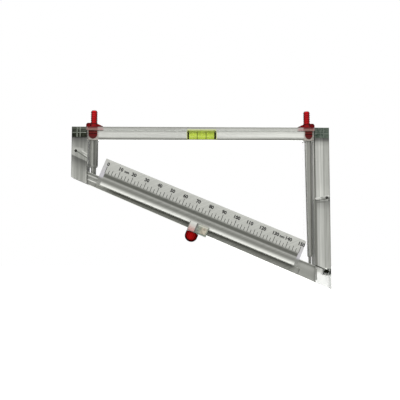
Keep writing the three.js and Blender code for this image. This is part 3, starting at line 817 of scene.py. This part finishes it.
def add_prism(bm, outline, y0, y1, place):
    """A prism from an outline of (x, z) points, between two y values, all in millimetres."""
    front = [bm.verts.new(place @ Vector((x * MM, y0 * MM, z * MM))) for x, z in outline]
    back = [bm.verts.new(place @ Vector((x * MM, y1 * MM, z * MM))) for x, z in outline]
    bm.faces.new(front)
    bm.faces.new(list(reversed(back)))
    for i in range(len(outline)):
        j = (i + 1) % len(outline)
        bm.faces.new((front[j], front[i], back[i], back[j]))


def combined(name, base, others, operation="UNION"):
    """One mesh from a base mesh and others, joined or cut exactly."""
    body = bpy.data.objects.new(name, base)
    bpy.context.scene.collection.objects.link(body)
    tools = []
    for i, other in enumerate(others):
        tool = bpy.data.objects.new(f"{name}_tool_{i}", other)
        bpy.context.scene.collection.objects.link(tool)
        modifier = body.modifiers.new("join", "BOOLEAN")
        modifier.operation = operation
        modifier.solver = "EXACT"
        modifier.object = tool
        tools.append(tool)
    bpy.context.view_layer.update()
    made = bpy.data.meshes.new_from_object(
        body.evaluated_get(bpy.context.evaluated_depsgraph_get()))
    for spare in (body, *tools):
        bpy.data.objects.remove(spare, do_unlink=True)
    made.name = name
    return made


# ---------- hose connectors ----------

STEM_TOP, STEM_BORE, STEM_ROOT, BARB_TOP_RADIUS, BARB_LAND = 13.2, 1.0, 2.0, 2.42, 0.35
PLUG_RADIUS, PLUG_TIP_RADIUS, PLUG_FOOT, CONE_TOP = 2.7, 1.5, -8.4, -6.0
RING_HEIGHT, RING_SECTION, RING_RADIUS = -4.0, 0.55, 2.45
FLANGE_RADIUS, FLANGE_FOOT, FLANGE_TOP = 4.2, 0.15, 1.2
HUB_FOOT_RADIUS, HUB_RADIUS, HUB_TOP = 3.3, 2.45, 3.7
EAR_REACH, EAR_TOP, EAR_ROUND = 5.6, 4.0, 1.6
WING_REACH, WING_INNER_TOP, WING_OUTER_TOP, WING_HALF_WIDTH = 6.6, 3.8, 1.5, 1.4


def connector_mesh(name, place):
    groove = RING_SECTION + 0.1
    inner_groove = RING_RADIUS - RING_SECTION - 0.05
    stem = [
        (STEM_BORE, PLUG_FOOT), (PLUG_TIP_RADIUS, PLUG_FOOT), (PLUG_RADIUS, CONE_TOP),
        (PLUG_RADIUS, RING_HEIGHT - groove), (inner_groove, RING_HEIGHT - groove),
        (inner_groove, RING_HEIGHT + groove), (PLUG_RADIUS, RING_HEIGHT + groove),
        (PLUG_RADIUS, FLANGE_FOOT), (FLANGE_RADIUS, FLANGE_FOOT), (FLANGE_RADIUS, FLANGE_TOP),
        (HUB_FOOT_RADIUS, FLANGE_TOP), (HUB_RADIUS, HUB_TOP), (STEM_ROOT, HUB_TOP + 0.2)]
    for i in range(BARB_COUNT):
        foot = FIRST_BARB + i * BARB_PITCH
        stem += [(BARB_TOP_RADIUS, foot), (BARB_TOP_RADIUS, foot + BARB_LAND),
                 (STEM_ROOT, foot + BARB_PITCH - 0.15)]
    stem += [(STEM_ROOT - 0.2, STEM_TOP), (STEM_BORE, STEM_TOP)]
    base = turned_mesh(name, rounded(stem, 0.14, closed=True, steps=3), place, closed=True)
    middle_wall = (STEM_BORE + HUB_RADIUS) / 2
    ear = [(-middle_wall, FLANGE_FOOT), (-middle_wall, EAR_TOP)]
    for i in range(9):
        angle = math.pi / 2 * (1 + i / 8)
        ear.append((-EAR_REACH + EAR_ROUND + EAR_ROUND * math.cos(angle),
                    EAR_TOP - EAR_ROUND + EAR_ROUND * math.sin(angle)))
    ear.append((-EAR_REACH, FLANGE_FOOT))
    wing = [(middle_wall, FLANGE_FOOT), (WING_REACH, FLANGE_FOOT), (WING_REACH, WING_OUTER_TOP),
            (middle_wall, WING_INNER_TOP)]
    wings = []
    for outline in (ear, wing):
        bm = bmesh.new()
        add_prism(bm, outline, -WING_HALF_WIDTH, WING_HALF_WIDTH, place)
        outer_edges = [edge for edge in bm.edges if edge.calc_face_angle(0) > math.radians(30)]
        bmesh.ops.bevel(
            bm, geom=outer_edges, offset=0.12 * MM, segments=2, affect="EDGES", clamp_overlap=True)
        wings.append(mesh_of(bm, name + "_wing"))
    return combined(name, base, wings)


def torus_outline(radius, section, height, steps=16):
    return [(radius + section * math.cos(2 * math.pi * i / steps),
             height + section * math.sin(2 * math.pi * i / steps)) for i in range(steps)]


for side, sign in SIDES:
    place = upright(sign * LEG_X, 0 if sign < 0 else math.pi)
    finish_piece(
        f"{side}_barbed_connector", connector_mesh(f"{side}_barbed_connector", place), "red",
        f"{side}_connector", [f"{side}_hose_connector"])
    finish_piece(
        f"{side}_o_ring", turned_mesh(
            f"{side}_o_ring", torus_outline(RING_RADIUS, RING_SECTION, RING_HEIGHT), place,
            closed=True), "rubber", f"{side}_ring", [f"{side}_valve_ring"])


# ---------- well tubes ----------

WELL_WALL, NECK_RADIUS, NECK_BORE, SHOULDER_DROP, WELL_FLOOR = 1.0, 1.9, 0.9, 2.2, 0.6


def well_outline(node, x):
    """Outer wall, round shoulder and neck, then back up inside."""
    place = TOP + X * x * MM
    foot, top = extent(node, Z, place)
    radius = extent(node, X, place)[1]
    shoulder = min(
        (vertex.co - place).z / MM for vertex in nodes[node].data.vertices
        if (vertex.co - place).xy.length / MM > radius - 0.02)

    def quarter(centre, start, end):
        return [(end + (start - end) * math.cos(math.pi / 2 * i / 8),
                 centre - SHOULDER_DROP * math.sin(math.pi / 2 * i / 8)) for i in range(9)]
    outer = quarter(shoulder, radius, NECK_RADIUS)
    inner = quarter(shoulder - WELL_FLOOR, radius - WELL_WALL, NECK_BORE)
    return ([(radius - WELL_WALL, top), (radius, top)] + outer
            + [(NECK_RADIUS, foot), (NECK_BORE, foot)] + inner[::-1])


for side, sign in SIDES:
    node = f"{side}_well_tube"
    mesh = turned_mesh(
        f"{side}_well", well_outline(node, sign * LEG_X), upright(sign * LEG_X), closed=True)
    finish_piece(f"{side}_well", mesh, f"{side}_tube", "frame", [node])


# ---------- spirit level ----------

vial_low, vial_high = corners("level_vial")
VIAL_FRAME = Matrix.Translation(middle("level_vial")) @ Matrix.Rotation(math.pi / 2, 4, "Y")
VIAL_HALF = (vial_high.x - vial_low.x) / 2 / MM
VIAL_RADIUS = (vial_high.z - vial_low.z) / 2 / MM
fluid_low, fluid_high = corners("level_fluid")
FLUID_RADIUS = (fluid_high.z - fluid_low.z) / 2 / MM
MARK_OFFSET = 3.2
BUBBLE_HALF = 2.7


def vial_glass():
    bore = FLUID_RADIUS + 0.1
    outline = [(bore, -VIAL_HALF), (VIAL_RADIUS, -VIAL_HALF), (VIAL_RADIUS, VIAL_HALF),
               (bore, VIAL_HALF)]
    return turned_mesh(
        "level_glass", rounded(outline, 0.12, closed=True), VIAL_FRAME, segments=80, closed=True)


def vial_spirit():
    """The dyed spirit, with its bubble hollowed out of the top."""
    outline = [(0, -VIAL_HALF), (FLUID_RADIUS, -VIAL_HALF), (FLUID_RADIUS, VIAL_HALF), (0, VIAL_HALF)]
    base = turned_mesh("level_spirit", outline, VIAL_FRAME, segments=80)
    bm = bmesh.new()
    bmesh.ops.create_uvsphere(bm, u_segments=48, v_segments=24, radius=1)
    above = Matrix.Translation(middle("level_fluid") + Z * FLUID_RADIUS * 0.92 * MM)
    bmesh.ops.transform(bm, matrix=above @ Matrix.Diagonal(
        (BUBBLE_HALF * MM, 2.4 * MM, 0.95 * MM, 1)), verts=bm.verts)
    return combined("level_spirit", base, [mesh_of(bm, "bubble")], "DIFFERENCE")


def vial_marks():
    """Two black rings round the glass, which the bubble is centred between."""
    bm = bmesh.new()
    for offset in (-MARK_OFFSET, MARK_OFFSET):
        outline = [(VIAL_RADIUS - 0.04, offset - 0.16), (VIAL_RADIUS + 0.04, offset - 0.16),
                   (VIAL_RADIUS + 0.04, offset + 0.16), (VIAL_RADIUS - 0.04, offset + 0.16)]
        add_turned(bm, outline, VIAL_FRAME, segments=80, closed=True)
    return mesh_of(bm, "level_marks")


finish_piece("level_glass", vial_glass(), "vial", "frame", ["level_vial"])
finish_piece("level_spirit", vial_spirit(), "fluid", "frame", ["level_fluid"])
finish_piece("level_marks", vial_marks(), "ink", "frame")


# ---------- clamp knob ----------

KNOB_S = (Vector(joints["clamp_screw_turn"]["pos_m"]) - SLOPE_START).dot(ALONG) / MM
KNOB_FOOT, KNOB_TOP = extent("clamp_knob", UP_SLOPE, SLOPE_START)
KNOB_RADIUS = (corners("clamp_knob")[1].y - corners("clamp_knob")[0].y) / 2 / MM
CUP_RADIUS, CUP_DEPTH, SOCKET_RADIUS, SOCKET_DEPTH, DOME_RISE = 3.55, 4.4, 1.6, 5.2, 4.4
FLUTE_COUNT, FLUTE_DEPTH = 16, 0.22


def knob_mesh():
    """A domed thumb knob with round flutes that fade out over the dome."""
    dome = [(KNOB_RADIUS * math.sin(math.pi / 2 * i / 14),
             KNOB_FOOT + DOME_RISE * (1 - math.cos(math.pi / 2 * i / 14))) for i in range(15)]
    wall = [(KNOB_RADIUS, KNOB_TOP - 1.8), (KNOB_RADIUS, KNOB_TOP - 0.4), (KNOB_RADIUS - 0.3, KNOB_TOP)]
    inside = [(CUP_RADIUS + 0.1, KNOB_TOP), (CUP_RADIUS, KNOB_TOP - 0.1),
              (CUP_RADIUS, KNOB_TOP - CUP_DEPTH), (SOCKET_RADIUS, KNOB_TOP - CUP_DEPTH),
              (SOCKET_RADIUS, KNOB_TOP - SOCKET_DEPTH), (0, KNOB_TOP - SOCKET_DEPTH)]

    def fluted(r, z, angle):
        if r <= CUP_RADIUS + 0.2:
            return r
        rise = min(1, max(0, (z - KNOB_FOOT - 0.8) / 2.2))
        wave = (1 - math.cos(angle * FLUTE_COUNT)) / 2
        return r - FLUTE_DEPTH * rise * (1 - wave) ** 2
    return turned_mesh(
        "thumb_knob", dome + wall + inside, SLOPE_FRAME @ Matrix.Translation(X * KNOB_S * MM),
        segments=192, radius_at=fluted)


finish_piece("thumb_knob", knob_mesh(), "knob", "clamp_screw", ["clamp_knob"], 50)


# ---------- printed scale ----------

SCALE_ZERO, SCALE_END = extent("guide_rail", ALONG, SLOPE_START)
SCALE_SPAN = SCALE_END - SCALE_ZERO
PLATE_FRONT = (corners("scale_plate")[0].y - TOP.y) / MM
INK_THICKNESS = 0.04
TICK_FOOT, TICK_WIDTH, TICK_STEP = 3.7, 0.36, 2.5
TICK_TOPS = {10: 8.4, 5: 7.2, 2.5: 6.3}
DIGIT_HEIGHT, DIGIT_MIDDLE, DIGIT_BOLD = 2.7, 10.4, 0.045


def scale_ticks():
    bm = bmesh.new()
    for i in range(round(SCALE_SPAN / TICK_STEP) + 1):
        value = i * TICK_STEP
        top = next(TICK_TOPS[step] for step in (10, 5, 2.5) if value % step == 0)
        s = SCALE_ZERO + value
        half = TICK_WIDTH / 2
        add_prism(
            bm, [(s - half, TICK_FOOT), (s + half, TICK_FOOT), (s + half, top), (s - half, top)],
            PLATE_FRONT - INK_THICKNESS, PLATE_FRONT + INK_THICKNESS / 2, SLOPE_FRAME)
    return mesh_of(bm, "scale_ticks")


def text_mesh(words, height):
    """Words as a thin solid mesh standing in the XZ plane, centred on the origin."""
    curve = bpy.data.curves.new("words", "FONT")
    curve.body = words
    curve.extrude = INK_THICKNESS / 2
    curve.offset = DIGIT_BOLD
    curve.resolution_u = 3
    carrier = bpy.data.objects.new("words", curve)
    bpy.context.scene.collection.objects.link(carrier)
    bpy.context.view_layer.update()
    mesh = bpy.data.meshes.new_from_object(
        carrier.evaluated_get(bpy.context.evaluated_depsgraph_get()))
    bpy.data.objects.remove(carrier, do_unlink=True)
    low = Vector(tuple(min(v.co[i] for v in mesh.vertices) for i in range(3)))
    high = Vector(tuple(max(v.co[i] for v in mesh.vertices) for i in range(3)))
    size = height / (high.y - low.y)
    centre = (low + high) / 2
    for vertex in mesh.vertices:
        x, y, z = vertex.co - centre
        vertex.co = Vector((x * size, -z, y * size)) * MM
    return mesh


def scale_numbers():
    bm = bmesh.new()
    words = [(value, str(value), DIGIT_HEIGHT, value, DIGIT_MIDDLE)
             for value in range(0, round(SCALE_SPAN) + 1, 10)]
    words += [(10, "mm", 1.3, 14.4, DIGIT_MIDDLE - 0.5), (130, "mm", 1.3, 134.8, DIGIT_MIDDLE - 0.5)]
    for _, text, height, at, t in words:
        mesh = text_mesh(text, height)
        place = SLOPE_FRAME @ Matrix.Translation(
            Vector((SCALE_ZERO + at, PLATE_FRONT - INK_THICKNESS / 2, t)) * MM)
        mesh.transform(place)
        bm.from_mesh(mesh)
    return mesh_of(bm, "scale_numbers")


finish_piece("scale_ticks", scale_ticks(), "ink", "scale")
finish_piece("scale_numbers", scale_numbers(), "ink", "scale")


# ---------- bond lines on the corner magnets ----------

def corner_seams(side, sign):
    """Pale lines where the layers of each black corner meet, just proud of the block's front face."""
    low, high = corners(f"{side}_magnet")
    front = (corners(f"{side}_end_block")[0].y - TOP.y) / MM
    outer = (low.x if sign < 0 else high.x) / MM
    width, height = (high.x - low.x) / MM, (high.z - low.z) / MM
    bm = bmesh.new()

    def line(x0, x1, z0, z1):
        xs = sorted((outer - sign * x0, outer - sign * x1))
        add_prism(bm, [(xs[0], z0), (xs[1], z0), (xs[1], z1), (xs[0], z1)],
                  front - 0.04, front + 0.04, Matrix.Translation(Vector((0, TOP.y, TOP.z))))
    edge = 0.3
    for at, thick in ((3.6, 0.5), (5.8, 0.42)):
        line(at, at + thick, -height + edge, -edge)
    for at, thick in ((0.85, 0.34), (2.4, 0.16), (3.9, 0.42)):
        line(edge, width - edge, -at - thick, -at)
    return mesh_of(bm, f"{side}_corner_seams")


for side, sign in SIDES:
    finish_piece(
        f"{side}_corner_seams", corner_seams(side, sign), "seam" if sign < 0 else "faint_seam",
        "frame")


# ---------- studio ----------

def studio_world():
    """White to the eye and through clear pieces, darker at the sides, with soft light from above."""
    world = bpy.data.worlds.new("studio")
    bpy.context.scene.world = world
    world.use_nodes = True
    tree = world.node_tree
    tree.nodes.clear()
    ray = add_node(tree, "ShaderNodeTexCoord").outputs["Generated"]
    across = add_node(
        tree, "ShaderNodeVectorMath", {0: ray, 1: X}, operation="DOT_PRODUCT").outputs["Value"]
    up = add_node(
        tree, "ShaderNodeVectorMath", {0: ray, 1: Z}, operation="DOT_PRODUCT").outputs["Value"]
    sideways = maths(tree, "ABSOLUTE", across, 0.0)
    paths = add_node(tree, "ShaderNodeLightPath").outputs
    through = between(tree, sideways, 0.45, 0.95, 1.0, 0.2, smooth=True)
    glossy = maths(
        tree, "ADD", between(tree, up, 0.1, 0.8, 0.18, 1.1, smooth=True),
        between(tree, sideways, 0.5, 0.9, 0.0, 0.1))
    lit = maths(
        tree, "MULTIPLY", between(tree, sideways, 0.3, 0.95, 0.82, 0.45),
        between(tree, up, -0.9, 0.5, 0.7, 1.05))
    strength = lit
    for path, level in (("Is Glossy Ray", glossy), ("Is Transmission Ray", through),
                        ("Is Camera Ray", 1.0)):
        chosen = add_node(tree, "ShaderNodeMix", data_type="FLOAT")
        tree.links.new(paths[path], chosen.inputs[0])
        tree.links.new(strength, chosen.inputs[2])
        if isinstance(level, float):
            chosen.inputs[3].default_value = level
        else:
            tree.links.new(level, chosen.inputs[3])
        strength = chosen.outputs[0]
    background = add_node(
        tree, "ShaderNodeBackground", {"Color": grey(1.0), "Strength": strength})
    add_node(tree, "ShaderNodeOutputWorld", {"Surface": background.outputs[0]})


def studio_floor():
    """A wide pale floor well below the instrument, which hangs by its back."""
    material, tree = new_material("pale_floor")
    cloud = noise(tree, stretched(tree, (1, 1, 1)), 2.0, 2)
    colour = ramp(tree, cloud, [(0.3, rgb(244, 244, 243)), (0.7, rgb(250, 250, 249))])["Color"]
    shader = add_node(tree, "ShaderNodeBsdfPrincipled", {
        "Base Color": colour, "Roughness": 0.9, "Specular IOR Level": 0.1,
        "Emission Color": colour, "Emission Strength": 0.5})
    output(tree, shader.outputs[0])
    bm = bmesh.new()
    bmesh.ops.create_circle(bm, cap_ends=True, segments=96, radius=6.0)
    bmesh.ops.translate(bm, vec=(0, 0, cad_low.z - 0.15), verts=bm.verts)
    mesh = mesh_of(bm, "floor")
    mesh.materials.append(material)
    floor = bpy.data.objects.new("floor", mesh)
    bpy.context.scene.collection.objects.link(floor)


def area_light(name, place, target, size, power):
    data = bpy.data.lights.new(name, "AREA")
    data.size = size
    data.energy = power
    light = bpy.data.objects.new(name, data)
    bpy.context.scene.collection.objects.link(light)
    light.location = place
    light.rotation_mode = "QUATERNION"
    light.rotation_quaternion = (Vector(target) - Vector(place)).to_track_quat("-Z", "Y")


def studio_camera():
    data = bpy.data.cameras.new("camera")
    camera = bpy.data.objects.new("camera", data)
    bpy.context.scene.collection.objects.link(camera)
    bpy.context.scene.camera = camera
    data.sensor_width = 36
    data.lens = 55.75
    data.clip_start, data.clip_end = 0.01, 20
    yaw, pitch, roll = math.radians(1.11), math.radians(4.5), math.radians(0.03)
    camera.location = TOP + Vector((-0.0092, -0.45, -0.0878))
    camera.rotation_mode = "XYZ"
    camera.rotation_euler = (math.radians(90) + pitch, -roll, -yaw)


studio_world()
studio_floor()
studio_camera()
centre = (cad_low + cad_high) / 2
area_light("key", (-0.35, -0.6, 0.45), centre, 0.35, 1.1)
area_light("fill", (0.6, -0.5, 0.1), centre, 0.5, 0.35)
bpy.context.scene.view_settings.view_transform = "Standard"
